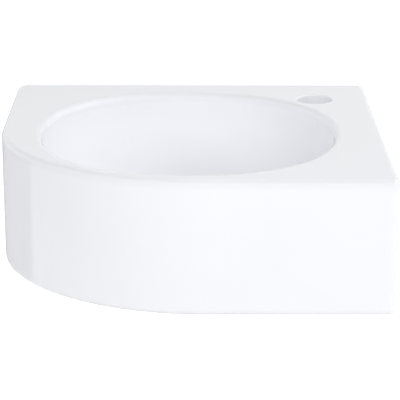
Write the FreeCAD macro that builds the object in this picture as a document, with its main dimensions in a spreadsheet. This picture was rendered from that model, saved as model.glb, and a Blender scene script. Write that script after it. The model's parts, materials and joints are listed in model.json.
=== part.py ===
import FreeCAD, Part
import math
import os
import re
import Sketcher

# Corner hand basin in vitreous china, with its push-open waste and its two wall bolts.
# Millimetres. X to the right, Y towards the back wall, Z up. The origin lies halfway between
# the two wall bolts, in the plane of the back wall.

doc = FreeCAD.newDocument("CornerBasin")
sheet = doc.addObject("Spreadsheet::Sheet", "Sizes")

SIZES = {
    # the casting, outside
    "basin_width": 370,
    "basin_depth": 345,
    "basin_height": 128.5,
    "deck_level": 60,
    "curve_radius": 206,
    "curve_right": 12,
    "curve_sweep": 45,
    "back_corner": 10,
    "front_corner": 7,
    "top_edge": 6,
    "bottom_edge": 5,
    # the casting, underneath
    "skirt_wall": 12,
    "back_wall": 14,
    "deck_thickness": 15,
    "inner_corner": 8,
    "ceiling_edge": 5,
    "pipe_gap_width": 140,
    "pipe_gap_height": 48,
    "pipe_gap_corner": 14,
    # the bowl
    "left_rim": 40,
    "right_rim": 46,
    "front_rim": 21.5,
    "back_rim": 39.5,
    "bowl_flattening": 29,
    "bowl_depth": 92,
    "bowl_upright": 8.5,
    "floor_fall": 1.5,
    "fall_margin": 2,
    "bowl_wall": 11,
    "bowl_floor": 12,
    "rim_edge": 7,
    # the tap hole and the fixing holes
    "tap_from_right": 57.2,
    "tap_from_back": 63.5,
    "tap_hole": 35,
    "tap_edge": 1.5,
    "bolt_spacing": 200,
    "bolt_hole": 17,
    # the waste
    "tube_diameter": 41.9,
    "tube_bore": 37.2,
    "tube_length": 64,
    "flange_diameter": 63,
    "flange_thickness": 2.6,
    "flange_lip": 3,
    "flange_edge": 1.2,
    "dish_depth": 3.2,
    "drain_gap": 2,
    "recess_depth": 2.6,
    "recess_gap": 1,
    "land_width": 2.5,
    "cross_level": 31,
    "cross_height": 6,
    "cross_rib": 3,
    "cross_root": 0.8,
    "boss_wall": 2.5,
    "seal_gap": 0.15,
    "flange_seal_thickness": 1.6,
    "flange_seal_inset": 1.5,
    "lower_seal_thickness": 6,
    "lower_seal_width": 12,
    "lower_seal_bevel": 2,
    "washer_thickness": 2,
    "backnut_height": 8,
    "backnut_flats": 50,
    "backnut_collar": 2,
    # the plug
    "plug_travel": 8.5,
    "cap_diameter": 45,
    "cap_thickness": 3.6,
    "cap_edge": 1.2,
    "cap_edge_width": 2.4,
    "plug_seal_diameter": 40.4,
    "plug_seal_thickness": 3,
    "plug_seat_gap": 0.08,
    "hub_diameter": 12,
    "hub_length": 8,
    "hub_roof": 2,
    "stem_diameter": 7,
    "running_gap": 0.06,
    "press_gap": 0.05,
    # the click cartridge
    "cartridge_diameter": 14.9,
    "cartridge_bore": 11.8,
    "cartridge_length": 34,
    "cartridge_floor": 2,
    "cartridge_drop": 24,
    "collar_width": 2,
    "collar_height": 2.5,
    "cartridge_cap_height": 3,
    "stop_gap": 0.3,
    "piston_length": 13,
    "guide_diameter": 4,
    "guide_length": 6,
    "track_width": 1.6,
    "track_depth": 1.3,
    "track_margin": 1.6,
    "latch_wire": 1.2,
    "latch_length": 15.5,
    "hook_reach": 0.3,
    "latch_gap": 0.1,
    "spring_wire": 0.9,
    "spring_diameter": 9.7,
    # the wall bolts
    "bolt_diameter": 10,
    "bolt_inside": 42,
    "bolt_in_wall": 55,
    "bolt_point": 9,
    "screw_diameter": 9,
    "bolt_gap": 0.2,
    "bush_flange": 26,
    "bush_flange_thickness": 3,
    "bush_gap": 0.4,
    "bush_short": 1,
    "steel_washer_diameter": 30,
    "steel_washer_thickness": 2,
    "nut_flats": 17,
    "nut_height": 8,
}


def fill_sheet():
    """Writes each size and its name on a row of the sheet."""
    for row, (name, value) in enumerate(SIZES.items(), start=1):
        sheet.set(f"A{row}", name)
        sheet.set(f"B{row}", str(value))
        sheet.setAlias(f"B{row}", name)
    doc.recompute()


def full(formula):
    """The formula with the sheet's name before each size."""
    return re.sub(r"[a-z]+(_[a-z]+)+", lambda word: "Sizes." + word.group(0), formula)


def number(formula):
    """What a formula of the sheet's sizes gives, in millimetres."""
    result = sheet.evalExpression(full(formula))
    return float(getattr(result, "Value", result))


# ---------------------------------------------------------------- helpers for bodies and sketches


def new_body(name):
    """An empty body that carries the node's name."""
    body = doc.addObject("PartDesign::Body", name)
    body.Label = name
    return body


def place(body, **formulas):
    """Binds the body's position to the sheet."""
    for axis, formula in formulas.items():
        body.setExpression(f"Placement.Base.{axis}", full(formula))


def plane(body, role):
    """One of the body's own origin planes or axes."""
    return next(item for item in body.Origin.OriginFeatures if item.Role == role)


def new_sketch(body, name, role="XY_Plane", **offsets):
    """A sketch on an origin plane, moved in that plane's own axes by formulas."""
    sketch = body.newObject("Sketcher::SketchObject", name)
    sketch.AttachmentSupport = (plane(body, role), [""])
    sketch.MapMode = "FlatFace"
    for axis, formula in offsets.items():
        sketch.setExpression(f"AttachmentOffset.Base.{axis}", full(formula))
    return sketch


def bind(sketch, kind, where, formula):
    """A dimension of the sketch that follows a formula."""
    index = sketch.addConstraint(Sketcher.Constraint(kind, *where, number(formula)))
    sketch.setExpression(f"Constraints[{index}]", full(formula))


ORIGIN = (-1, 1)
X_AXIS, Y_AXIS = -1, -2


def line(start, end):
    return Part.LineSegment(FreeCAD.Vector(*start, 0), FreeCAD.Vector(*end, 0))


def arc(centre, radius, start, end):
    """An arc that runs anticlockwise from one angle to another, in degrees."""
    circle = Part.Circle(FreeCAD.Vector(*centre, 0), FreeCAD.Vector(0, 0, 1), radius)
    return Part.ArcOfCircle(circle, math.radians(start), math.radians(end))


def chain(sketch, pieces):
    """Adds lines and arcs that each run into the next, tangent, in a closed loop."""
    ids = [sketch.addGeometry(piece, False) for piece in pieces]
    for here, after in zip(ids, ids[1:] + ids[:1]):
        sketch.addConstraint(Sketcher.Constraint("Tangent", here, 2, after, 1))
    return ids


def pin(sketch, item, point, across, up):
    """Holds one point of an item at two formulas, or on an axis where the formula is 0."""
    for kind, axis, formula in (("DistanceX", Y_AXIS, across), ("DistanceY", X_AXIS, up)):
        if formula == "0":
            sketch.addConstraint(Sketcher.Constraint("PointOnObject", item, point, axis))
        else:
            bind(sketch, kind, (*ORIGIN, item, point), formula)


def polygon(sketch, corners):
    """A closed outline of straight lines through corners given as two formulas each."""
    values = [(number(across), number(up)) for across, up in corners]
    ends = values[1:] + values[:1]
    ids = [sketch.addGeometry(line(start, end), False) for start, end in zip(values, ends)]
    for here, after in zip(ids, ids[1:] + ids[:1]):
        sketch.addConstraint(Sketcher.Constraint("Coincident", here, 2, after, 1))
    for side, (across, up) in zip(ids, corners):
        pin(sketch, side, 1, across, up)


def circle(sketch, diameter, across="0", up="0"):
    """A circle whose centre and diameter are formulas."""
    middle = FreeCAD.Vector(number(across), number(up), 0)
    shape = Part.Circle(middle, FreeCAD.Vector(0, 0, 1), number(diameter) / 2)
    ring = sketch.addGeometry(shape, False)
    bind(sketch, "Diameter", (ring,), diameter)
    pin(sketch, ring, 3, across, up)


# ---------------------------------------------------------------- helpers for features


def feature(body, kind, name, sketch=None):
    """A PartDesign feature, on its sketch if it has one."""
    made = body.newObject("PartDesign::" + kind, name)
    if sketch:
        made.Profile = sketch
        sketch.Visibility = False
    return made


def pad(body, name, sketch, length):
    made = feature(body, "Pad", name, sketch)
    made.setExpression("Length", full(length))
    return made


def pocket(body, name, sketch, length, forwards=False):
    """A cut of a given depth, which must take material away."""
    doc.recompute()
    before = body.Shape.Volume
    made = feature(body, "Pocket", name, sketch)
    made.setExpression("Length", full(length))
    made.Reversed = forwards
    doc.recompute()
    if body.Shape.Volume >= before:
        raise RuntimeError(f"{name} takes nothing away")
    return made


def revolve(body, name, sketch, axis="V_Axis", kind="Revolution"):
    made = feature(body, kind, name, sketch)
    made.ReferenceAxis = (sketch, [axis])
    made.Angle = 360
    return made


def ease_edges(body, name, size, wanted, kind="Fillet"):
    """A fillet, or a chamfer, on every edge of the last feature that the test picks."""
    doc.recompute()
    base = body.Tip
    picked = [f"Edge{n}" for n, edge in enumerate(base.Shape.Edges, start=1) if wanted(edge)]
    if not picked:
        raise RuntimeError(f"{name} finds no edge")
    made = body.newObject("PartDesign::" + kind, name)
    made.Base = (base, picked)
    made.setExpression("Radius" if kind == "Fillet" else "Size", full(size))
    return made


def at_level(formula):
    """A test for edges that lie flat at one height of the body."""
    level = number(formula)
    return lambda edge: abs(edge.BoundBox.ZMin - level) < 1e-4 and abs(edge.BoundBox.ZMax - level) < 1e-4


def mirrored(body, name, originals):
    """The same features again on the other side of the plane between left and right."""
    doc.recompute()
    made = body.newObject("PartDesign::Mirrored", name)
    made.Originals = originals
    made.MirrorPlane = (plane(body, "YZ_Plane"), [""])
    body.Tip = made
    return made


def turned(name, corners, level):
    """A round piece on the drain's axis: a profile turned upright, with its foot at a level."""
    body = new_body(name)
    sketch = new_sketch(body, name + "_profile", "XZ_Plane")
    polygon(sketch, corners)
    revolve(body, name + "_turned", sketch)
    place(body, x=BOWL_X, y=BOWL_Y, z=level)
    return body


def turned_pair(name, corners, start):
    """A pair of round pieces, one on each wall bolt: a profile along Y, turned and mirrored."""
    body = new_body(name)
    body.AllowCompound = True
    sketch = new_sketch(body, name + "_profile", "YZ_Plane", z="bolt_spacing / 2")
    polygon(sketch, corners)
    one = revolve(body, name + "_turned", sketch, "H_Axis")
    mirrored(body, name + "_pair", [one])
    place(body, y=start)
    return body


FLATS_PER_CORNER_RADIUS = 1.7320508
CUT_MARGIN = 1


def hexagon(body, name, flats, height, role, **offsets):
    """A hexagonal prism on an origin plane, given across its flats."""
    made = body.newObject("PartDesign::AdditivePrism", name)
    made.AttachmentSupport = (plane(body, role), [""])
    made.MapMode = "FlatFace"
    made.Polygon = 6
    made.setExpression("Circumradius", full(f"{flats} / {FLATS_PER_CORNER_RADIUS}"))
    made.setExpression("Height", full(height))
    for axis, formula in offsets.items():
        made.setExpression(f"AttachmentOffset.Base.{axis}", full(formula))
    return made


# ---------------------------------------------------------------- the casting

BOWL_X = "((left_rim - right_rim) / 2)"
BOWL_Y = "(-(basin_depth + back_rim - front_rim) / 2)"
SPAN_ACROSS = "(basin_width - left_rim - right_rim)"
SPAN_FORWARD = "(basin_depth - front_rim - back_rim)"
BOWL_HALF = f"(min({SPAN_ACROSS}; {SPAN_FORWARD}) / 2)"
BOWL_CURVE = "(bowl_depth - floor_fall - bowl_upright)"
CURVE_START = f"(basin_width / 2 + {BOWL_X} + curve_right)"
SWEEP_SINE = "sin(curve_sweep * 1 deg)"
SIDE_RADIUS = f"(({CURVE_START} - curve_radius * {SWEEP_SINE}) / (1 - {SWEEP_SINE}))"
BASE_LEVEL = "(deck_level - basin_height)"
CEILING_LEVEL = "(deck_level - deck_thickness)"
FLOOR_LEVEL = "(deck_level - bowl_depth)"
RECESS_LEVEL = "(deck_level - bowl_depth - recess_depth)"
UNDER_LEVEL = "(deck_level - bowl_depth - bowl_floor)"
RECESS_DIAMETER = "(flange_diameter + 2 * recess_gap)"
LAND_RADIUS = "(flange_diameter / 2 + recess_gap + land_width)"
DRAIN_DIAMETER = "(tube_diameter + 2 * drain_gap)"


def corner_outline(sketch, inset, back, front_corner, back_corner):
    """The plan outline: straight back, right side and half front, and the big front left curve.

    The curve is an arc that leaves the front line tangent, a little right of the bowl's middle,
    and a tighter bend that brings it tangent into the left side. The inset moves all of it
    inwards except the back line.
    """
    left = -number("basin_width / 2 - " + inset)
    right = -left
    front = -number("basin_depth - " + inset)
    rear = -number(back)
    near, far = number(front_corner), number(back_corner)
    big, side = number("curve_radius - " + inset), number(f"{SIDE_RADIUS} - {inset}")
    centre = left + number(f"{CURVE_START} - {inset}")
    sweep = number("curve_sweep")
    bend = front + big - (big - side) * math.cos(math.radians(sweep))
    join = 270 - sweep
    ids = chain(sketch, [
        line((centre, front), (right - near, front)),
        arc((right - near, front + near), near, -90, 0),
        line((right, front + near), (right, rear - far)),
        arc((right - far, rear - far), far, 0, 90),
        line((right - far, rear), (left + far, rear)),
        arc((left + far, rear - far), far, 90, 180),
        line((left, rear - far), (left, bend)),
        arc((left + side, bend), side, 180, join),
        arc((centre, front + big), big, join, 270),
    ])
    front_line, near_arc, right_line, far_arc, back_line, left_arc, left_line, side_arc, big_arc = ids
    for item, kind in ((front_line, "Horizontal"), (right_line, "Vertical"),
                       (back_line, "Horizontal"), (left_line, "Vertical")):
        sketch.addConstraint(Sketcher.Constraint(kind, item))
    bind(sketch, "DistanceX", (left_line, 1, *ORIGIN), "basin_width / 2 - " + inset)
    bind(sketch, "DistanceX", (*ORIGIN, right_line, 1), "basin_width / 2 - " + inset)
    bind(sketch, "DistanceY", (front_line, 1, *ORIGIN), "basin_depth - " + inset)
    if back == "0":
        sketch.addConstraint(Sketcher.Constraint("PointOnObject", back_line, 1, X_AXIS))
    else:
        bind(sketch, "DistanceY", (back_line, 1, *ORIGIN), back)
    bind(sketch, "DistanceX", (left_line, 1, big_arc, 3), f"{CURVE_START} - {inset}")
    bind(sketch, "Radius", (near_arc,), front_corner)
    bind(sketch, "Radius", (far_arc,), back_corner)
    bind(sketch, "Radius", (left_arc,), back_corner)
    bind(sketch, "Radius", (side_arc,), f"{SIDE_RADIUS} - {inset}")
    bind(sketch, "Radius", (big_arc,), "curve_radius - " + inset)


MEET_ANGLE = 22.5
TIGHT_REACH = 2 * math.cos(math.radians(MEET_ANGLE))


def flat_radius(half_width):
    return f"({half_width} + bowl_flattening)"


def tight_radius(half_width):
    return f"({half_width} + bowl_flattening - {TIGHT_REACH:.6f} * bowl_flattening)"


def soft_round(sketch, half_width):
    """A circle eased towards a square: four flatter arcs and four tighter ones, all tangent.

    The flat arcs are centred behind the middle by the flattening, on the axes. The tight arcs
    are centred ahead of it by the same amount, on the diagonals. They meet 22.5 degrees off
    the axes.
    """
    ease = number("bowl_flattening")
    flat, tight = number(flat_radius(half_width)), number(tight_radius(half_width))
    pieces = []
    for turn in (0, 90, 180, 270):
        angle = math.radians(turn)
        diagonal = math.radians(turn + 45)
        flat_centre = (-ease * math.cos(angle), -ease * math.sin(angle))
        tight_centre = (ease * math.cos(diagonal), ease * math.sin(diagonal))
        pieces.append(arc(flat_centre, flat, turn - MEET_ANGLE, turn + MEET_ANGLE))
        pieces.append(arc(tight_centre, tight, turn + MEET_ANGLE, turn + 90 - MEET_ANGLE))
    ids = chain(sketch, pieces)
    flats, tights = ids[0::2], ids[1::2]
    for item, axis in zip(flats, (X_AXIS, Y_AXIS, X_AXIS, Y_AXIS)):
        sketch.addConstraint(Sketcher.Constraint("PointOnObject", item, 3, axis))
        bind(sketch, "Radius", (item,), flat_radius(half_width))
    bind(sketch, "DistanceX", (flats[0], 3, *ORIGIN), "bowl_flattening")
    bind(sketch, "DistanceY", (flats[1], 3, *ORIGIN), "bowl_flattening")
    bind(sketch, "DistanceX", (*ORIGIN, flats[2], 3), "bowl_flattening")
    bind(sketch, "DistanceY", (*ORIGIN, flats[3], 3), "bowl_flattening")
    for item in tights:
        bind(sketch, "Radius", (item,), tight_radius(half_width))


def bowl_form(name, half_width, depth, height, curve):
    """A solid in the form of the bowl: upright walls, and a large curve into a level floor."""
    body = new_body(name)
    floor = f"deck_level - {depth}"
    outline = new_sketch(body, name + "_outline", z=floor)
    soft_round(outline, half_width)
    pad(body, name + "_block", outline, height)
    ease_edges(body, name + "_curve", curve, at_level(floor))
    place(body, x=BOWL_X, y=BOWL_Y)
    return body


def bowl_hollow():
    """What the bowl takes out of the casting, with a floor that falls to the drain."""
    upper_floor = "(bowl_depth - floor_fall)"
    body = bowl_form("bowl_hollow", BOWL_HALF, upper_floor, upper_floor, BOWL_CURVE)
    fall_radius = f"({BOWL_HALF} - {BOWL_CURVE} - fall_margin)"
    upper = f"(deck_level - {upper_floor})"
    fall = new_sketch(body, "floor_fall_profile", "XZ_Plane")
    polygon(fall, [("0", FLOOR_LEVEL), (LAND_RADIUS, FLOOR_LEVEL), (fall_radius, upper), ("0", upper)])
    revolve(body, "floor_fall_cone", fall)
    return body


def bowl_outside():
    """The back of the bowl, one wall outside the hollow, up into the deck."""
    depth = "(bowl_depth + bowl_floor)"
    return bowl_form("bowl_outside", f"({BOWL_HALF} + bowl_wall)", depth,
                     f"{depth} - deck_thickness / 2", f"{BOWL_CURVE} + bowl_wall")


def combine(body, name, kind, tool):
    """Joins another body to this one, or cuts it out."""
    doc.recompute()
    made = body.newObject("PartDesign::Boolean", name)
    made.Type = kind
    made.setObjects([tool])
    doc.recompute()
    return made


def is_rim(edge):
    """Whether an edge is one of the arcs of the bowl's opening in the deck."""
    radii = (number(flat_radius(BOWL_HALF)), number(tight_radius(BOWL_HALF)))
    return (at_level("deck_level")(edge) and isinstance(edge.Curve, Part.Circle)
            and min(abs(edge.Curve.Radius - radius) for radius in radii) < 1e-4)


def is_ring(diameter, level):
    """A test for a full circle of one diameter at one height of the body."""
    radius = number(diameter) / 2
    flat = at_level(level)
    return lambda edge: (flat(edge) and isinstance(edge.Curve, Part.Circle)
                         and abs(edge.Curve.Radius - radius) < 1e-4)


def cut_drain(body):
    """The recess for the flange in the bowl's floor, and the hole through it."""
    for name, diameter, depth in (("flange_recess", RECESS_DIAMETER, "recess_depth"),
                                  ("drain_hole", DRAIN_DIAMETER, f"bowl_floor + {CUT_MARGIN}")):
        sketch = new_sketch(body, name + "_circle", x=BOWL_X, y=BOWL_Y, z=FLOOR_LEVEL)
        circle(sketch, diameter)
        pocket(body, name, sketch, depth)


def cut_tap_hole(body):
    """The hole for the tap through the deck, with its glazed edge eased."""
    sketch = new_sketch(body, "tap_hole_circle", "XY_Plane", z="deck_level")
    circle(sketch, "tap_hole", "basin_width / 2 - tap_from_right", "-tap_from_back")
    pocket(body, "tap_hole_cut", sketch, f"deck_thickness + {CUT_MARGIN}")
    ease_edges(body, "tap_hole_bevel", "tap_edge", is_ring("tap_hole", "deck_level"), "Chamfer")


def cut_back_wall(body):
    """The two fixing holes and the gap for the pipes, both through the back wall only."""
    hole = new_sketch(body, "bolt_hole_circle", "XZ_Plane")
    circle(hole, "bolt_hole", "bolt_spacing / 2", "0")
    through = pocket(body, "bolt_hole_cut", hole, f"back_wall + {CUT_MARGIN}", forwards=True)
    mirrored(body, "bolt_hole_pair", [through])

    gap = new_sketch(body, "pipe_gap_outline", "XZ_Plane")
    top = BASE_LEVEL + " + pipe_gap_height"
    polygon(gap, [("-pipe_gap_width / 2", BASE_LEVEL), ("pipe_gap_width / 2", BASE_LEVEL),
                  ("pipe_gap_width / 2", top), ("-pipe_gap_width / 2", top)])
    pocket(body, "pipe_gap", gap, f"back_wall + {CUT_MARGIN}", forwards=True)
    height = number(top)
    side = number("pipe_gap_width / 2")
    ease_edges(body, "pipe_gap_rounding", "pipe_gap_corner", lambda edge: (
        abs(edge.CenterOfMass.z - height) < 1e-4 and abs(abs(edge.CenterOfMass.x) - side) < 1e-4))


def basin_body():
    """The china casting: skirt, deck, bowl, back wall and their holes."""
    body = new_body("basin_body")
    outline = new_sketch(body, "plan_outline", z=BASE_LEVEL)
    corner_outline(outline, "0", "0", "front_corner", "back_corner")
    pad(body, "block", outline, "basin_height")
    ease_edges(body, "top_rounding", "top_edge", at_level("deck_level"))
    ease_edges(body, "bottom_rounding", "bottom_edge", at_level(BASE_LEVEL))

    inside = new_sketch(body, "inside_outline", z=BASE_LEVEL)
    corner_outline(inside, "skirt_wall", "back_wall", "inner_corner", "inner_corner")
    pocket(body, "inside", inside, "basin_height - deck_thickness", forwards=True)
    ease_edges(body, "ceiling_bevel", "ceiling_edge", at_level(CEILING_LEVEL), "Chamfer")

    combine(body, "bowl_joined", "Fuse", bowl_outside())
    combine(body, "bowl_cut", "Cut", bowl_hollow())
    ease_edges(body, "rim_rounding", "rim_edge", is_rim)
    cut_drain(body)
    cut_tap_hole(body)
    cut_back_wall(body)
    return body


# ---------------------------------------------------------------- the waste

FLANGE_LEVEL = f"({RECESS_LEVEL} + flange_seal_thickness)"
TAIL_LEVEL = f"({FLANGE_LEVEL} - tube_length)"
TUBE_RADIUS = "(tube_diameter / 2)"
BORE_RADIUS = "(tube_bore / 2)"
FLANGE_RADIUS = "(flange_diameter / 2)"
CARTRIDGE_RADIUS = "(cartridge_diameter / 2)"
CARTRIDGE_BORE = "(cartridge_bore / 2)"
SEAL_INSIDE = "(tube_diameter / 2 + seal_gap)"
SEAL_OUTSIDE = "(tube_diameter / 2 + lower_seal_width)"


def waste_body():
    """The flange and its threaded tube, with a cross inside that carries the cartridge."""
    flange_top = "(tube_length + flange_thickness)"
    body = turned("waste_body", [
        (BORE_RADIUS, "0"),
        (TUBE_RADIUS, "0"),
        (TUBE_RADIUS, "tube_length"),
        (FLANGE_RADIUS, "tube_length"),
        (FLANGE_RADIUS, f"{flange_top} - flange_edge"),
        (f"{FLANGE_RADIUS} - flange_edge", flange_top),
        (f"{FLANGE_RADIUS} - flange_lip", flange_top),
        (BORE_RADIUS, f"{flange_top} - dish_depth"),
    ], TAIL_LEVEL)

    rib = new_sketch(body, "rib_outline", z="cross_level")
    polygon(rib, [("0", "-cross_rib / 2"), (f"{BORE_RADIUS} + cross_root", "-cross_rib / 2"),
                  (f"{BORE_RADIUS} + cross_root", "cross_rib / 2"), ("0", "cross_rib / 2")])
    one = pad(body, "rib", rib, "cross_height")
    doc.recompute()
    ribs = body.newObject("PartDesign::PolarPattern", "ribs")
    ribs.Originals = [one]
    ribs.Axis = (plane(body, "Z_Axis"), [""])
    ribs.Occurrences = 3
    ribs.Angle = 360
    body.Tip = ribs
    doc.recompute()

    boss = new_sketch(body, "boss_circle", z="cross_level")
    circle(boss, "cartridge_diameter + 2 * press_gap + 2 * boss_wall")
    pad(body, "boss", boss, "cross_height")
    bore = new_sketch(body, "boss_bore_circle", z="cross_level")
    circle(bore, "cartridge_diameter + 2 * press_gap")
    pocket(body, "boss_bore", bore, "cross_height", forwards=True)
    return body


def washers():
    """The seals above and below the china and the plastic washer, from the top down."""
    seal_rim = f"{FLANGE_RADIUS} - flange_seal_inset"
    turned("flange_seal", [
        (SEAL_INSIDE, "0"), (seal_rim, "0"),
        (seal_rim, "flange_seal_thickness"), (SEAL_INSIDE, "flange_seal_thickness"),
    ], RECESS_LEVEL)

    turned("lower_seal", [
        (SEAL_INSIDE, "0"), (SEAL_OUTSIDE, "0"),
        (SEAL_OUTSIDE, "lower_seal_thickness - lower_seal_bevel"),
        (f"{SEAL_OUTSIDE} - lower_seal_bevel", "lower_seal_thickness"),
        (SEAL_INSIDE, "lower_seal_thickness"),
    ], f"{UNDER_LEVEL} - lower_seal_thickness")

    turned("friction_washer", [
        (SEAL_INSIDE, "0"), (SEAL_OUTSIDE, "0"),
        (SEAL_OUTSIDE, "washer_thickness"), (SEAL_INSIDE, "washer_thickness"),
    ], f"{UNDER_LEVEL} - lower_seal_thickness - washer_thickness")


def backnut():
    """A round collar over a hexagon, bored to the tube."""
    inside = f"({TUBE_RADIUS} + press_gap)"
    collar_foot = "backnut_height - backnut_collar"
    body = turned("backnut", [
        (inside, collar_foot), (SEAL_OUTSIDE, collar_foot),
        (SEAL_OUTSIDE, "backnut_height"), (inside, "backnut_height"),
    ], f"{UNDER_LEVEL} - lower_seal_thickness - washer_thickness - backnut_height")
    doc.recompute()
    hexagon(body, "backnut_hexagon", "backnut_flats", collar_foot, "XY_Plane")
    doc.recompute()
    bore = new_sketch(body, "backnut_bore_circle")
    circle(bore, f"2 * {inside}")
    pocket(body, "backnut_bore", bore, "backnut_height", forwards=True)
    return body


# ---------------------------------------------------------------- the plug and its cartridge

DISH_RUN = f"({FLANGE_RADIUS} - flange_lip - {BORE_RADIUS})"
SEAL_RUN = f"({FLANGE_RADIUS} - flange_lip - plug_seal_diameter / 2)"
SEAT_LEVEL = f"({FLANGE_LEVEL} + flange_thickness - dish_depth * {SEAL_RUN} / {DISH_RUN})"
PLUG_SEAL_LEVEL = f"({SEAT_LEVEL} + plug_seat_gap + plug_travel)"
CAP_LEVEL = f"({PLUG_SEAL_LEVEL} + plug_seal_thickness)"
COLLAR_LEVEL = f"({TAIL_LEVEL} + cross_level + cross_height)"
CARTRIDGE_LEVEL = f"({COLLAR_LEVEL} - cartridge_drop)"
CARTRIDGE_CAP_LEVEL = f"({CARTRIDGE_LEVEL} + cartridge_length)"
PISTON_LEVEL = f"({CARTRIDGE_CAP_LEVEL} - stop_gap - piston_length)"
TRACK_LEVEL = f"({PISTON_LEVEL} + track_margin)"
HOOK_LEVEL = f"({TRACK_LEVEL} + latch_gap + latch_wire / 2)"
LATCH_LEVEL = f"({HOOK_LEVEL} - latch_length)"
LATCH_RADIUS = f"({CARTRIDGE_BORE} + latch_gap + latch_wire / 2)"
PISTON_RADIUS = f"({CARTRIDGE_BORE} - running_gap)"


def plug_cap():
    """The bevelled cap, with a hub that carries its seal and takes the stem."""
    socket = "(stem_diameter / 2 + press_gap)"
    hub = "(hub_diameter / 2)"
    cap_radius = "(cap_diameter / 2)"
    cap_top = "(hub_length + cap_thickness)"
    return turned("plug_cap", [
        (socket, "0"), (hub, "0"), (hub, "hub_length"),
        (cap_radius, "hub_length"), (cap_radius, f"{cap_top} - cap_edge"),
        (f"{cap_radius} - cap_edge_width", cap_top), ("0", cap_top),
        ("0", "hub_length - hub_roof"), (socket, "hub_length - hub_roof"),
    ], f"{CAP_LEVEL} - hub_length")


def plug_seal():
    inside, outside = "(hub_diameter / 2 + press_gap)", "(plug_seal_diameter / 2)"
    return turned("plug_seal", [
        (inside, "0"), (outside, "0"),
        (outside, "plug_seal_thickness"), (inside, "plug_seal_thickness"),
    ], PLUG_SEAL_LEVEL)


def plunger():
    """The stem, its piston with the latch track down one side, and the pin in the spring."""
    piston_top = "(guide_length + piston_length)"
    stem_radius = "stem_diameter / 2"
    foot = f"({PISTON_LEVEL} - guide_length)"
    stem_top = f"({CAP_LEVEL} - hub_roof - {foot})"
    body = turned("plunger", [
        ("0", "0"), ("guide_diameter / 2", "0"), ("guide_diameter / 2", "guide_length"),
        (PISTON_RADIUS, "guide_length"), (PISTON_RADIUS, piston_top),
        (stem_radius, piston_top), (stem_radius, stem_top), ("0", stem_top),
    ], foot)
    track = new_sketch(body, "track_outline", z="guide_length + track_margin")
    inner, outer = f"{PISTON_RADIUS} - track_depth", f"{PISTON_RADIUS} + {CUT_MARGIN}"
    polygon(track, [(inner, "-track_width / 2"), (outer, "-track_width / 2"),
                    (outer, "track_width / 2"), (inner, "track_width / 2")])
    pocket(body, "track", track, "plug_travel + latch_wire + 2 * latch_gap", forwards=True)
    return body


def cartridge_body():
    """The cup of the click mechanism, hung by its collar on the cross, with the latch's slot."""
    collar = f"({CARTRIDGE_RADIUS} + collar_width)"
    collar_top = "(cartridge_drop + collar_height)"
    body = turned("cartridge_body", [
        ("0", "0"), (CARTRIDGE_RADIUS, "0"), (CARTRIDGE_RADIUS, "cartridge_drop"),
        (collar, "cartridge_drop"), (collar, collar_top), (CARTRIDGE_RADIUS, collar_top),
        (CARTRIDGE_RADIUS, "cartridge_length"), (CARTRIDGE_BORE, "cartridge_length"),
        (CARTRIDGE_BORE, "cartridge_floor"), ("0", "cartridge_floor"),
    ], CARTRIDGE_LEVEL)
    slot = new_sketch(body, "latch_slot_outline",
                      z=f"{LATCH_LEVEL} - latch_wire / 2 - latch_gap - {CARTRIDGE_LEVEL}")
    half = "(latch_wire / 2 + latch_gap)"
    inner = f"{CARTRIDGE_BORE} - {CUT_MARGIN}"
    outer = f"{CARTRIDGE_RADIUS} + {CUT_MARGIN}"
    polygon(slot, [(inner, "-" + half), (outer, "-" + half), (outer, half), (inner, half)])
    pocket(body, "latch_slot", slot, "latch_length + latch_wire + 2 * latch_gap", forwards=True)
    return body


def cartridge_cap():
    """The ring that closes the cup, guides the stem and stops the piston."""
    guide = "(stem_diameter / 2 + running_gap)"
    return turned("cartridge_cap", [
        (guide, "0"), (CARTRIDGE_RADIUS, "0"),
        (CARTRIDGE_RADIUS, "cartridge_cap_height"), (guide, "cartridge_cap_height"),
    ], CARTRIDGE_CAP_LEVEL)


def latch_pin():
    """A wire bent square to a U: its upper hook in the plunger's track, its lower in the slot."""
    body = new_body("latch_pin")
    lower = f"({CARTRIDGE_BORE} - hook_reach)"
    upper = f"({PISTON_RADIUS} - track_depth + latch_gap)"
    corners = [(lower, "0"), (LATCH_RADIUS, "0"),
               (LATCH_RADIUS, "latch_length"), (upper, "latch_length")]
    path = new_sketch(body, "latch_path", "XZ_Plane")
    values = [(number(across), number(up)) for across, up in corners]
    ids = [path.addGeometry(line(a, b), False) for a, b in zip(values, values[1:])]
    for here, after in zip(ids, ids[1:]):
        path.addConstraint(Sketcher.Constraint("Coincident", here, 2, after, 1))
    for item, (across, up) in zip(ids, corners):
        pin(path, item, 1, across, up)
    pin(path, ids[-1], 2, *corners[-1])
    end = new_sketch(body, "latch_wire_circle", "YZ_Plane", z=lower)
    circle(end, "latch_wire")
    doc.recompute()
    wire = feature(body, "AdditivePipe", "latch_wire_sweep", end)
    wire.Spine = path
    wire.Transition = "Right corner"
    place(body, x=BOWL_X, y=BOWL_Y, z=LATCH_LEVEL)
    return body


def return_spring():
    """The room that the coil spring takes, between the cup's floor and the piston."""
    foot = f"({CARTRIDGE_LEVEL} + cartridge_floor)"
    length = f"({PISTON_LEVEL} - {foot})"
    inner, outer = "(spring_diameter / 2 - spring_wire)", "spring_diameter / 2"
    return turned("return_spring", [
        (inner, "0"), (outer, "0"), (outer, length), (inner, length),
    ], foot)


# ---------------------------------------------------------------- the wall bolts

BOLT_CLEAR = "(bolt_diameter / 2 + bolt_gap)"


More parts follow.
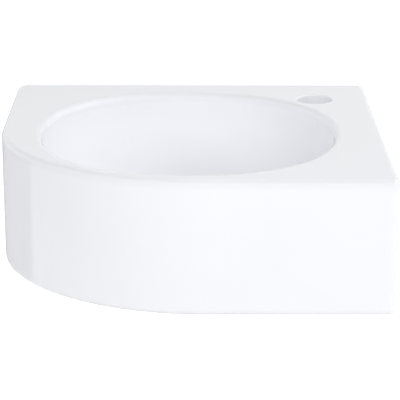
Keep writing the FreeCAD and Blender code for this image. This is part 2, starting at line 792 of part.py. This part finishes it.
def wall_bolts():
    """Two hanger bolts: a machine thread through the back wall and a screw into the wall."""
    end = "(bolt_inside + bolt_in_wall)"
    turned_pair("wall_bolts", [
        ("0", "0"), (end, "0"), (f"{end} - bolt_point", "screw_diameter / 2"),
        ("bolt_inside", "screw_diameter / 2"), ("bolt_inside", "bolt_diameter / 2"),
        ("0", "bolt_diameter / 2"),
    ], "-bolt_inside")


def bolt_bushes():
    """Two nylon bushes that centre the bolts in the fixing holes."""
    end = "(bush_flange_thickness + back_wall - bush_short)"
    sleeve = "(bolt_hole / 2 - bush_gap / 2)"
    turned_pair("bolt_bushes", [
        ("0", BOLT_CLEAR), (end, BOLT_CLEAR), (end, sleeve),
        ("bush_flange_thickness", sleeve), ("bush_flange_thickness", "bush_flange / 2"),
        ("0", "bush_flange / 2"),
    ], "-(back_wall + bush_flange_thickness)")


def bolt_washers():
    rim = "steel_washer_diameter / 2"
    turned_pair("bolt_washers", [
        ("0", BOLT_CLEAR), ("steel_washer_thickness", BOLT_CLEAR),
        ("steel_washer_thickness", rim), ("0", rim),
    ], "-(back_wall + bush_flange_thickness + steel_washer_thickness)")


def bolt_nuts():
    """Two hexagon nuts, each a prism along Y with the bolt's bore through it."""
    body = new_body("bolt_nuts")
    body.AllowCompound = True
    prism = hexagon(body, "nut_hexagon", "nut_flats", "nut_height", "XZ_Plane", x="bolt_spacing / 2")
    doc.recompute()
    bore = new_sketch(body, "nut_bore_circle", "XZ_Plane")
    circle(bore, "bolt_diameter + 2 * press_gap", "bolt_spacing / 2", "0")
    hole = pocket(body, "nut_bore", bore, "nut_height", forwards=True)
    mirrored(body, "nut_pair", [prism, hole])
    place(body, y="-(back_wall + bush_flange_thickness + steel_washer_thickness)")


# ---------------------------------------------------------------- the whole part


def build():
    fill_sheet()
    basin_body()
    waste_body()
    washers()
    backnut()
    plug_cap()
    plug_seal()
    plunger()
    cartridge_body()
    cartridge_cap()
    latch_pin()
    return_spring()
    wall_bolts()
    bolt_bushes()
    bolt_washers()
    bolt_nuts()
    doc.recompute()


def check():
    """Stops if any object failed or any sub-part has no valid solid."""
    for item in doc.Objects:
        if {"Invalid", "Error"} & set(item.State):
            raise RuntimeError(f"{item.Name} failed: {item.State}")
    for body in bodies():
        if body.Shape.isNull() or not body.Shape.isValid() or not body.Shape.Solids:
            raise RuntimeError(f"{body.Label} has no valid solid")


def bodies():
    """The sub-parts: every body that isn't a form used up in another body."""
    used = [tool for item in doc.Objects if item.TypeId == "PartDesign::Boolean"
            for tool in item.Group]
    return [item for item in doc.Objects
            if item.TypeId == "PartDesign::Body" and item not in used]


def write():
    """One STEP file for each sub-part, named after it."""
    os.makedirs("parts", exist_ok=True)
    for body in bodies():
        body.Shape.exportStep(f"parts/{body.Label}.step")


build()
check()
write()
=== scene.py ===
import json
import math

import bpy
import numpy as np
from mathutils import Matrix, Vector


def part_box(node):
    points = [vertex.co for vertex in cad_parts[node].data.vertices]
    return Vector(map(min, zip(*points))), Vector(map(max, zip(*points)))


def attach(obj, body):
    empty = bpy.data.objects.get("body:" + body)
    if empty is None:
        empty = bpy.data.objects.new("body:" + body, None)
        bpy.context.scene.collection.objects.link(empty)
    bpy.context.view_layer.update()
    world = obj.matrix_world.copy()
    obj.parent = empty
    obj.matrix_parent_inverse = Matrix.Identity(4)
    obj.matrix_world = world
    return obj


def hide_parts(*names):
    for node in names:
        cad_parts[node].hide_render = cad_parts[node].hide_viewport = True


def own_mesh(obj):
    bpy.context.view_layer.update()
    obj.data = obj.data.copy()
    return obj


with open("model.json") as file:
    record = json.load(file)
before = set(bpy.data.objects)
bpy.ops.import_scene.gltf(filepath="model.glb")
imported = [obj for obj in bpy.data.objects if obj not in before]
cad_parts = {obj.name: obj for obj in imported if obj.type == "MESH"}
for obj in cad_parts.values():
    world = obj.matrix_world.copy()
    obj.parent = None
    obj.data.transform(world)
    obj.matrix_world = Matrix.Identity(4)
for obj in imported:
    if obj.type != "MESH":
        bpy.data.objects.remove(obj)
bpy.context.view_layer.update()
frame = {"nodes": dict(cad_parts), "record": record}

# Metres. X to the right, Y towards the back wall, Z up.
MM = 0.001

# ------------------------------------------------------------------ surfaces

CUT_END = 0.7


def surface(name, points, around=True, capped=False):
    """A mesh from a grid of points, row by row.

    Each row is closed on itself if it runs around. The first and last rows are filled with
    one face each if the piece is capped. Faces point to the outside of a row that turns from
    X to Z while the rows go along Y.
    """
    rows, columns = points.shape[:2]
    last = columns if around else columns - 1
    row, column = np.meshgrid(np.arange(rows - 1), np.arange(last), indexing="ij")
    here = row * columns + column
    beside = row * columns + (column + 1) % columns
    faces = np.stack([here, here + columns, beside + columns, beside], axis=-1)
    faces = faces.reshape(-1, 4).tolist()
    if capped:
        ring = np.arange(columns)
        faces += [ring.tolist(), (ring[::-1] + (rows - 1) * columns).tolist()]
    mesh = bpy.data.meshes.new(name)
    mesh.from_pydata(points.reshape(-1, 3).tolist(), [], faces)
    mesh.shade_smooth()
    piece = bpy.data.objects.new(name, mesh)
    bpy.context.collection.objects.link(piece)
    return piece


def tube(name, path, radius, sides):
    """A round wire along a path.

    Each ring is the path's point plus the radius times the cosine of a turn along one normal
    and its sine along the other. The first and last rings are narrower, as a cut end is.
    """
    along = np.gradient(path, axis=0)
    along /= np.linalg.norm(along, axis=1, keepdims=True)
    across = np.cross(along, [0.0, 0.0, 1.0])
    across /= np.linalg.norm(across, axis=1, keepdims=True)
    upward = np.cross(across, along)
    path = np.concatenate([path[:1], path, path[-1:]])
    across = np.concatenate([across[:1], across, across[-1:]])
    upward = np.concatenate([upward[:1], upward, upward[-1:]])
    width = np.full(len(path), radius)
    width[[0, -1]] = radius * CUT_END
    turn = np.linspace(0, 2 * math.pi, sides, endpoint=False)
    rings = (path[:, None]
             + width[:, None, None] * (np.cos(turn)[None, :, None] * across[:, None]
                                       + np.sin(turn)[None, :, None] * upward[:, None]))
    return surface(name, rings, capped=True)


# ------------------------------------------------------------------ materials

NOISE_LOW, NOISE_HIGH = 0.3, 0.7


class Finish:
    """A material under construction, with its surface shader and a few node helpers."""

    def __init__(self, name):
        self.material = bpy.data.materials.new(name)
        self.material.use_nodes = True
        self.tree = self.material.node_tree
        self.shader = self.tree.nodes["Principled BSDF"]
        self.place = self.tree.nodes.new("ShaderNodeTexCoord").outputs["Object"]

    def set(self, **values):
        """Sets the shader's sockets, with underscores for the spaces in their names."""
        for socket, value in values.items():
            self.shader.inputs[socket.replace("_", " ")].default_value = value

    def axes(self):
        """The place's X, Y and Z."""
        node = self.tree.nodes.new("ShaderNodeSeparateXYZ")
        self.tree.links.new(self.place, node.inputs[0])
        return [node.outputs[axis] for axis in "XYZ"]

    def noise(self, scale, detail=3.0):
        """Cloudy noise that hangs on the piece."""
        node = self.tree.nodes.new("ShaderNodeTexNoise")
        node.inputs["Scale"].default_value = scale
        node.inputs["Detail"].default_value = detail
        self.tree.links.new(self.place, node.inputs["Vector"])
        return node.outputs["Fac"]

    def ramp(self, value, low, high):
        """Colours between two, by a value over the middle of the noise's span."""
        node = self.tree.nodes.new("ShaderNodeValToRGB")
        node.color_ramp.elements[0].position = NOISE_LOW
        node.color_ramp.elements[0].color = (*low, 1)
        node.color_ramp.elements[1].position = NOISE_HIGH
        node.color_ramp.elements[1].color = (*high, 1)
        self.tree.links.new(value, node.inputs["Fac"])
        return node.outputs["Color"]

    def span(self, value, low, high, start=0.0, end=1.0):
        """A number between two, by a value from a start to an end."""
        node = self.tree.nodes.new("ShaderNodeMapRange")
        node.inputs["From Min"].default_value = start
        node.inputs["From Max"].default_value = end
        node.inputs["To Min"].default_value = low
        node.inputs["To Max"].default_value = high
        self.tree.links.new(value, node.inputs["Value"])
        return node.outputs["Result"]

    def combine(self, value, kind, other):
        """Two values worked into one, the second of them a number or a node's output."""
        node = self.tree.nodes.new("ShaderNodeMath")
        node.operation = kind
        self.tree.links.new(value, node.inputs[0])
        if isinstance(other, float):
            node.inputs[1].default_value = other
        else:
            self.tree.links.new(other, node.inputs[1])
        return node.outputs[0]

    def mix(self, share, colour, other):
        """A node's colour, and another fixed one where the share is 1."""
        node = self.tree.nodes.new("ShaderNodeMix")
        node.data_type = "RGBA"
        self.tree.links.new(share, node.inputs[0])
        self.tree.links.new(colour, node.inputs[6])
        node.inputs[7].default_value = (*other, 1)
        return node.outputs[2]

    def bump(self, value, strength, distance):
        node = self.tree.nodes.new("ShaderNodeBump")
        node.inputs["Strength"].default_value = strength
        node.inputs["Distance"].default_value = distance
        self.tree.links.new(value, node.inputs["Height"])
        self.tree.links.new(node.outputs["Normal"], self.shader.inputs["Normal"])

    def colour(self, output):
        self.tree.links.new(output, self.shader.inputs["Base Color"])

    def roughness(self, output):
        self.tree.links.new(output, self.shader.inputs["Roughness"])


# How far from the tap hole's axis its painted shade reaches, and how far below the deck it
# starts.
HOLE_REACH = 18.2 * MM
HOLE_BELOW = 1.0 * MM
HOLE_SHADE_SHARE = 0.6
# The heights below the deck between which the painted shade of the edges grows and ends.
EDGE_STARTS = (10.0 * MM, 5.0 * MM)
EDGE_ENDS = (1.2 * MM, 0.1 * MM)
EDGE_SHADE_SHARE = 0.25
# Painted shade: the greyer china colour that darkens the tap hole's inside and the edges just
# under the deck.
SHADE_COLOUR = (0.7, 0.705, 0.73)
# How far behind the back face and the bottom rim the unglazed china reaches.
BARE_DEPTH = 0.3 * MM
BARE_COLOUR = (0.73, 0.715, 0.68)
BARE_ROUGHNESS = 0.62


def painted_shade(finish):
    """Painted shade, as a share of a greyer colour: most inside the tap hole, and a little on
    the deck's edges.

    In the hole it is one share, within a short way of the hole's axis and just below the deck.
    On the edges it is another, by height alone: it grows towards the deck and ends just under
    it.
    """
    mounts = frame["record"]["mounts"]
    hole = Vector(next(row["pos_m"] for row in mounts if row["name"] == "tap_hole"))
    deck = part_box("basin_body")[1].z
    x, y, z = finish.axes()
    across = finish.combine(x, "SUBTRACT", hole.x)
    along = finish.combine(y, "SUBTRACT", hole.y)
    across_squared = finish.combine(across, "MULTIPLY", across)
    along_squared = finish.combine(along, "MULTIPLY", along)
    reach = finish.combine(across_squared, "ADD", along_squared)
    # Painted shade inside the tap hole: a greyer colour near its axis, below the deck.
    near = finish.combine(reach, "LESS_THAN", HOLE_REACH ** 2)
    below = finish.combine(z, "LESS_THAN", deck - HOLE_BELOW)
    inside = finish.combine(finish.combine(near, "MULTIPLY", below), "MULTIPLY", HOLE_SHADE_SHARE)
    # Painted shade on the edges: a darker band by height alone, just under the deck.
    starts = finish.span(z, 0.0, 1.0, *(deck - drop for drop in EDGE_STARTS))
    ends = finish.span(z, 1.0, 0.0, *(deck - drop for drop in EDGE_ENDS))
    edges = finish.combine(finish.combine(starts, "MULTIPLY", ends), "MULTIPLY", EDGE_SHADE_SHARE)
    return finish.combine(inside, "MAXIMUM", edges)


def bare_china(finish):
    """1 on the back face and the bottom rim, which have no glaze, and 0 elsewhere.

    It is 1 past a plane just inside either face.
    """
    _, y, z = finish.axes()
    low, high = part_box("basin_body")
    back = finish.combine(y, "GREATER_THAN", high.y - BARE_DEPTH)
    rim = finish.combine(z, "LESS_THAN", low.z + BARE_DEPTH)
    return finish.combine(back, "MAXIMUM", rim)


def glazed_china():
    """White vitreous china: an even glaze, very slightly pooled, over a fine unevenness, with
    painted shade in the tap hole and on the edges under the deck.
    """
    finish = Finish("glazed_china")
    finish.set(IOR=1.5, Coat_Weight=0.0)
    even = finish.ramp(finish.noise(9.0), (0.808, 0.816, 0.848), (0.822, 0.828, 0.858))
    # Painted shade: a greyer colour inside the tap hole and on the edges just under the deck.
    shaded = finish.mix(painted_shade(finish), even, SHADE_COLOUR)
    bare = bare_china(finish)
    finish.colour(finish.mix(bare, shaded, BARE_COLOUR))
    glazed = finish.span(finish.noise(30.0), 0.07, 0.12)
    dull = finish.combine(bare, "MULTIPLY", BARE_ROUGHNESS)
    finish.roughness(finish.combine(glazed, "MAXIMUM", dull))
    finish.bump(finish.noise(60.0, 2.0), 0.02, 0.0005)
    return finish.material


def chrome():
    """Polished chrome plate with faint wiping marks."""
    finish = Finish("chrome")
    finish.set(Metallic=1.0)
    finish.colour(finish.ramp(finish.noise(40.0), (0.78, 0.79, 0.8), (0.86, 0.87, 0.88)))
    finish.roughness(finish.span(finish.noise(120.0), 0.05, 0.13))
    finish.bump(finish.noise(300.0), 0.02, 0.0002)
    return finish.material


def brass():
    """Cast and turned brass, a little dulled."""
    finish = Finish("brass")
    finish.set(Metallic=1.0)
    finish.colour(finish.ramp(finish.noise(90.0), (0.62, 0.43, 0.16), (0.78, 0.58, 0.26)))
    finish.roughness(finish.span(finish.noise(200.0), 0.28, 0.42))
    finish.bump(finish.noise(500.0), 0.08, 0.0002)
    return finish.material


def steel(name, low, high, dull):
    """Plain or zinc-plated steel: a mottled grey metal."""
    finish = Finish(name)
    finish.set(Metallic=1.0)
    finish.colour(finish.ramp(finish.noise(150.0), low, high))
    finish.roughness(finish.span(finish.noise(260.0), dull, dull + 0.14))
    finish.bump(finish.noise(700.0), 0.06, 0.0001)
    return finish.material


def moulded(name, low, high, gloss, grain):
    """Moulded plastic or rubber: a near-even colour over a fine grain."""
    finish = Finish(name)
    finish.set(IOR=1.5)
    finish.colour(finish.ramp(finish.noise(60.0), low, high))
    finish.roughness(finish.span(finish.noise(180.0), gloss, gloss + 0.12))
    finish.bump(finish.noise(grain), 0.1, 0.0002)
    return finish.material


finishes = {
    "glazed_china": glazed_china(),
    "chrome": chrome(),
    "brass": brass(),
    "black_rubber": moulded(
        "black_rubber", (0.018, 0.018, 0.019), (0.035, 0.034, 0.034), 0.6, 900.0),
    "white_plastic": moulded(
        "white_plastic", (0.72, 0.72, 0.7), (0.8, 0.8, 0.78), 0.32, 700.0),
    "white_nylon": moulded(
        "white_nylon", (0.74, 0.72, 0.66), (0.82, 0.8, 0.75), 0.42, 600.0),
    "spring_steel": steel("spring_steel", (0.48, 0.48, 0.49), (0.62, 0.62, 0.63), 0.22),
    "zinc_steel": steel("zinc_steel", (0.55, 0.57, 0.6), (0.72, 0.73, 0.74), 0.3),
}


def dress(piece, slot):
    """Gives a piece, or a CAD node, the finish of one material slot."""
    if piece.data.materials:
        for index in range(len(piece.data.materials)):
            piece.material_slots[index].material = finishes[slot]
    else:
        piece.data.materials.append(finishes[slot])


for row in frame["record"]["subparts"]:
    dress(frame["nodes"][row["node"]], row["material_slot"])


# ------------------------------------------------------------------ the spring

SPRING_WIRE = 0.9 * MM
SPRING_TURNS = 8
SPRING_STEPS = 36
SPRING_SIDES = 12
END_SLOWING = 0.55


def coil_spring():
    """A helix whose rise slows at both ends, so that the end turns lie closed.

    Its height is the share of its length, less part of a sine over that length.
    """
    low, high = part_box("return_spring")
    middle = (low + high) / 2
    radius = (high.x - low.x) / 2 - SPRING_WIRE / 2
    share = np.linspace(0, 1, SPRING_STEPS * SPRING_TURNS)
    turn = 2 * math.pi * SPRING_TURNS * share
    foot, head = low.z + SPRING_WIRE / 2, high.z - SPRING_WIRE / 2
    rise = share - END_SLOWING * np.sin(2 * math.pi * share) / (2 * math.pi)
    path = np.stack([middle.x + radius * np.cos(turn), middle.y + radius * np.sin(turn),
                     foot + (head - foot) * rise], axis=1)
    spring = tube("coil_spring", path, SPRING_WIRE / 2, SPRING_SIDES)
    dress(spring, "spring_steel")
    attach(spring, "basin")
    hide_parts("return_spring")
    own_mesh(spring)


coil_spring()

# ------------------------------------------------------------------ the waste's thread

TUBE_PITCH = 2.309 * MM
TUBE_RADIUS = 20.95 * MM
CREST = 0.55 * MM
CREST_SIDES = 8
CREST_STEPS = 48
THREAD_START = 2.0 * MM
RUN_OUT_TURNS = 0.25


def waste_thread():
    """The crests of the waste tube's pipe thread, below its nut.

    They are a round wire, half sunk in the tube, along a helix of one pitch a turn. Near both
    ends the helix runs out into the tube's wall.
    """
    low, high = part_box("waste_body")
    middle = (low + high) / 2
    foot, head = low.z + THREAD_START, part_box("backnut")[0].z - CREST
    turns = (head - foot) / TUBE_PITCH
    share = np.linspace(0, 1, int(CREST_STEPS * turns))
    turn = 2 * math.pi * turns * share
    sunk = CREST * np.clip(1 - turns * np.minimum(share, 1 - share) / RUN_OUT_TURNS, 0, 1)
    path = np.stack([middle.x + (TUBE_RADIUS - sunk) * np.cos(turn),
                     middle.y + (TUBE_RADIUS - sunk) * np.sin(turn),
                     foot + (head - foot) * share], axis=1)
    thread = tube("waste_thread", path, CREST, CREST_SIDES)
    dress(thread, "chrome")
    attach(thread, "basin")


waste_thread()

# ------------------------------------------------------------------ the wall bolts

THREAD_RADIUS = 5.0 * MM
THREAD_PITCH = 1.5 * MM
THREAD_DEPTH = 0.9 * MM
BEVEL_SLOPE = 0.8
SCREW_RADIUS = 4.5 * MM
SCREW_PITCH = 3.6 * MM
SCREW_DEPTH = 1.25 * MM
CREST_SHARPNESS = 2.2
SHANK = 7.0 * MM
SHANK_FADE = 4 * MM
POINT = 9.0 * MM
TIP = 0.35 * MM
BOLT_SIDES = 24
STEPS_PER_PITCH = 8


def ridge(level, turn, pitch):
    """How far a point is from the nearest crest of a helix, from 0 on it to 1 between two."""
    return np.abs(2 * np.mod(level / pitch - turn / (2 * math.pi), 1.0) - 1)


def wall_bolt(name, middle, low, high):
    """A hanger bolt along Y, as a radius that depends on the place along it and on the turn.

    Inside the basin the radius dips by the thread's depth between crests of a fine even helix.
    In the wall it dips between the sharp crests of a coarse one, which fades out at the plain
    shank, and it shrinks evenly to the point.
    """
    level = np.arange(low, high, THREAD_PITCH / STEPS_PER_PITCH)
    level = np.append(level, high)[:, None]
    turn = np.linspace(0, 2 * math.pi, BOLT_SIDES, endpoint=False)[None]
    fine = THREAD_RADIUS - THREAD_DEPTH * ridge(level, turn, THREAD_PITCH)
    fine = np.minimum(fine, THREAD_RADIUS - THREAD_DEPTH + (level - low) * BEVEL_SLOPE)
    grown = np.clip((level - SHANK) / SHANK_FADE, 0, 1)
    dip = np.minimum(1, CREST_SHARPNESS * ridge(level, turn, SCREW_PITCH))
    coarse = SCREW_RADIUS - grown * SCREW_DEPTH * dip
    coarse = np.minimum(coarse, TIP + (high - level) * (SCREW_RADIUS - TIP) / POINT)
    radius = np.where(level < 0, fine, coarse)
    points = np.stack([middle.x + radius * np.cos(turn), level + 0 * turn,
                       middle.z + radius * np.sin(turn)], axis=-1)
    bolt = surface(name, points, capped=True)
    dress(bolt, "zinc_steel")
    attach(bolt, "basin")
    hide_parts("wall_bolts")


def wall_bolts():
    """Two bolts, one at each end of the CAD pair's box."""
    low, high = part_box("wall_bolts")
    for name, x in (("wall_bolt_left", low.x + THREAD_RADIUS),
                    ("wall_bolt_right", high.x - THREAD_RADIUS)):
        wall_bolt(name, Vector((x, 0, (low.z + high.z) / 2)), low.y, high.y)


wall_bolts()

# ------------------------------------------------------------------ the camera

PIXELS = 400
FOCAL_PIXELS = 1688.8
SENSOR = 36.0
CAMERA_PLACE = Vector((-0.00242, -1.76276, 0.50892))
# Radians.
CAMERA_DOWN = 0.318
CAMERA_RIGHT = 0.007
CAMERA_ROLL = 0.003


def photo_camera():
    """The camera at the photograph's place, by its heading, its tilt down and its roll."""
    ahead = Vector((math.sin(CAMERA_RIGHT) * math.cos(CAMERA_DOWN),
                    math.cos(CAMERA_RIGHT) * math.cos(CAMERA_DOWN), -math.sin(CAMERA_DOWN)))
    level = Vector((math.cos(CAMERA_RIGHT), -math.sin(CAMERA_RIGHT), 0))
    upward = level.cross(ahead)
    right = math.cos(CAMERA_ROLL) * level + math.sin(CAMERA_ROLL) * upward
    up = -math.sin(CAMERA_ROLL) * level + math.cos(CAMERA_ROLL) * upward
    data = bpy.data.cameras.new("photo_camera")
    data.sensor_width = SENSOR
    data.lens = FOCAL_PIXELS / PIXELS * SENSOR
    camera = bpy.data.objects.new("photo_camera", data)
    bpy.context.collection.objects.link(camera)
    turn = Matrix((right, up, -ahead)).transposed()
    camera.matrix_world = Matrix.Translation(CAMERA_PLACE) @ turn.to_4x4()
    bpy.context.scene.camera = camera


photo_camera()

# ------------------------------------------------------------------ the light and the room

WORLD_STRENGTH = 0.08
FLOOR_LEVEL = -0.85
FLOOR_RADIUS = 6.0
FLOOR_RINGS = 6
FLOOR_SIDES = 64
# The floor's glow near the basin, and the distances between which it grows to white.
FLOOR_GLOW = 0.7
GLOW_REACH = (1.8, 3.2)


def seen(tree):
    """1 for what the camera, a reflection or a clear piece sees, and 0 for what only lights."""
    path = tree.nodes.new("ShaderNodeLightPath")
    total = path.outputs["Is Camera Ray"]
    for name in ("Is Glossy Ray", "Is Transmission Ray"):
        either = tree.nodes.new("ShaderNodeMath")
        either.operation = "MAXIMUM"
        tree.links.new(total, either.inputs[0])
        tree.links.new(path.outputs[name], either.inputs[1])
        total = either.outputs[0]
    return total


def studio_world():
    """An even pale surround, white where it is seen."""
    world = bpy.data.worlds.new("studio")
    world.use_nodes = True
    tree = world.node_tree
    background = tree.nodes["Background"]
    background.inputs["Color"].default_value = (1.0, 1.0, 1.0, 1)
    strength = tree.nodes.new("ShaderNodeMapRange")
    strength.inputs["To Min"].default_value = WORLD_STRENGTH
    strength.inputs["To Max"].default_value = 1.0
    tree.links.new(seen(tree), strength.inputs["Value"])
    tree.links.new(strength.outputs["Result"], background.inputs["Strength"])
    bpy.context.scene.world = world


def clear_below(finish):
    """Lets the floor be looked through from below, so that it never hides the underside."""
    tree = finish.tree
    side = tree.nodes.new("ShaderNodeNewGeometry").outputs["Backfacing"]
    clear = tree.nodes.new("ShaderNodeBsdfTransparent")
    either = tree.nodes.new("ShaderNodeMixShader")
    tree.links.new(side, either.inputs[0])
    tree.links.new(finish.shader.outputs[0], either.inputs[1])
    tree.links.new(clear.outputs[0], either.inputs[2])
    tree.links.new(either.outputs[0], tree.nodes["Material Output"].inputs["Surface"])


def floor():
    """A pale round floor, far enough below for a basin on its wall.

    Its points lie on rings of evenly growing radius, all at one level.
    """
    share = np.linspace(0.0, 1.0, FLOOR_RINGS)[:, None]
    turn = np.linspace(0, 2 * math.pi, FLOOR_SIDES, endpoint=False)[None]
    points = np.stack([FLOOR_RADIUS * share * np.cos(turn), FLOOR_RADIUS * share * np.sin(turn),
                       np.full((FLOOR_RINGS, FLOOR_SIDES), FLOOR_LEVEL)], axis=-1)
    piece = surface("floor", points)
    finish = Finish("floor")
    finish.set(Base_Color=(0.8, 0.8, 0.8, 1), Roughness=0.9, Emission_Color=(1, 1, 1, 1))
    distance = finish.tree.nodes.new("ShaderNodeVectorMath")
    distance.operation = "LENGTH"
    finish.tree.links.new(finish.place, distance.inputs[0])
    far = finish.span(distance.outputs["Value"], FLOOR_GLOW, 1.0, *GLOW_REACH)
    glow = finish.combine(seen(finish.tree), "MULTIPLY", far)
    finish.tree.links.new(glow, finish.shader.inputs["Emission Strength"])
    clear_below(finish)
    piece.data.materials.append(finish.material)


BASIN_MIDDLE = Vector((0.0, -0.17, 0.0))
LAMP_DISTANCE = 2.6
LAMP_SIZE = 1.6
# Each lamp's turn from the front and its height, in degrees, and its power in watts.
LAMPS = {
    "front_box": (-15, 35, 39.0),
    "front_right_box": (15, 35, 13.0),
    "front_low": (45, 8, 17.0),
    "right_low": (80, 8, 16.0),
    "left_low": (-80, 8, 14.0),
    "rear_right_box": (130, 35, 40.0),
    "rear_left_low": (-135, 8, 40.0),
}


def soft_boxes():
    """Square lamps round the basin, which light it and aren't seen in its glaze."""
    for name, (turn, height, power) in LAMPS.items():
        turn, height = math.radians(turn), math.radians(height)
        way = Vector((math.sin(turn) * math.cos(height), -math.cos(turn) * math.cos(height),
                      math.sin(height)))
        data = bpy.data.lights.new(name, "AREA")
        data.size = LAMP_SIZE
        data.energy = power
        lamp = bpy.data.objects.new(name, data)
        bpy.context.collection.objects.link(lamp)
        lamp.visible_glossy = False
        lamp.location = BASIN_MIDDLE + LAMP_DISTANCE * way
        lamp.rotation_euler = (-way).to_track_quat("-Z", "Y").to_euler()


CARD_DISTANCE = 1.5
# Degrees from the front, as for the lamps.
CARD_TURNS = (-176, -103)
CARD_LEVELS = (-0.84, 0.0)
CARD_COLUMNS = 24
CARD_ROWS = 6
CARD_GREY = (0.62, 0.59, 0.65)


def grey_card():
    """A bent card, an arc drawn straight up, which only reflections see."""
    turn = np.radians(np.linspace(*CARD_TURNS, CARD_COLUMNS))[None]
    level = np.linspace(*CARD_LEVELS, CARD_ROWS)[:, None]
    points = np.stack([BASIN_MIDDLE.x + CARD_DISTANCE * np.sin(turn) + 0 * level,
                       BASIN_MIDDLE.y - CARD_DISTANCE * np.cos(turn) + 0 * level,
                       level + 0 * turn], axis=-1)
    card = surface("grey_card", points, around=False)
    finish = Finish("grey_card")
    finish.set(Base_Color=(0, 0, 0, 1), Roughness=1.0, Specular_IOR_Level=0.0)
    finish.set(Emission_Color=(*CARD_GREY, 1), Emission_Strength=1.0)
    card.data.materials.append(finish.material)
    card.visible_camera = False
    card.visible_diffuse = False
    card.visible_shadow = False
    card.visible_transmission = False


studio_world()
floor()
grey_card()
soft_boxes()

# ------------------------------------------------------------------ the view and the end

bpy.context.scene.view_settings.view_transform = "Standard"
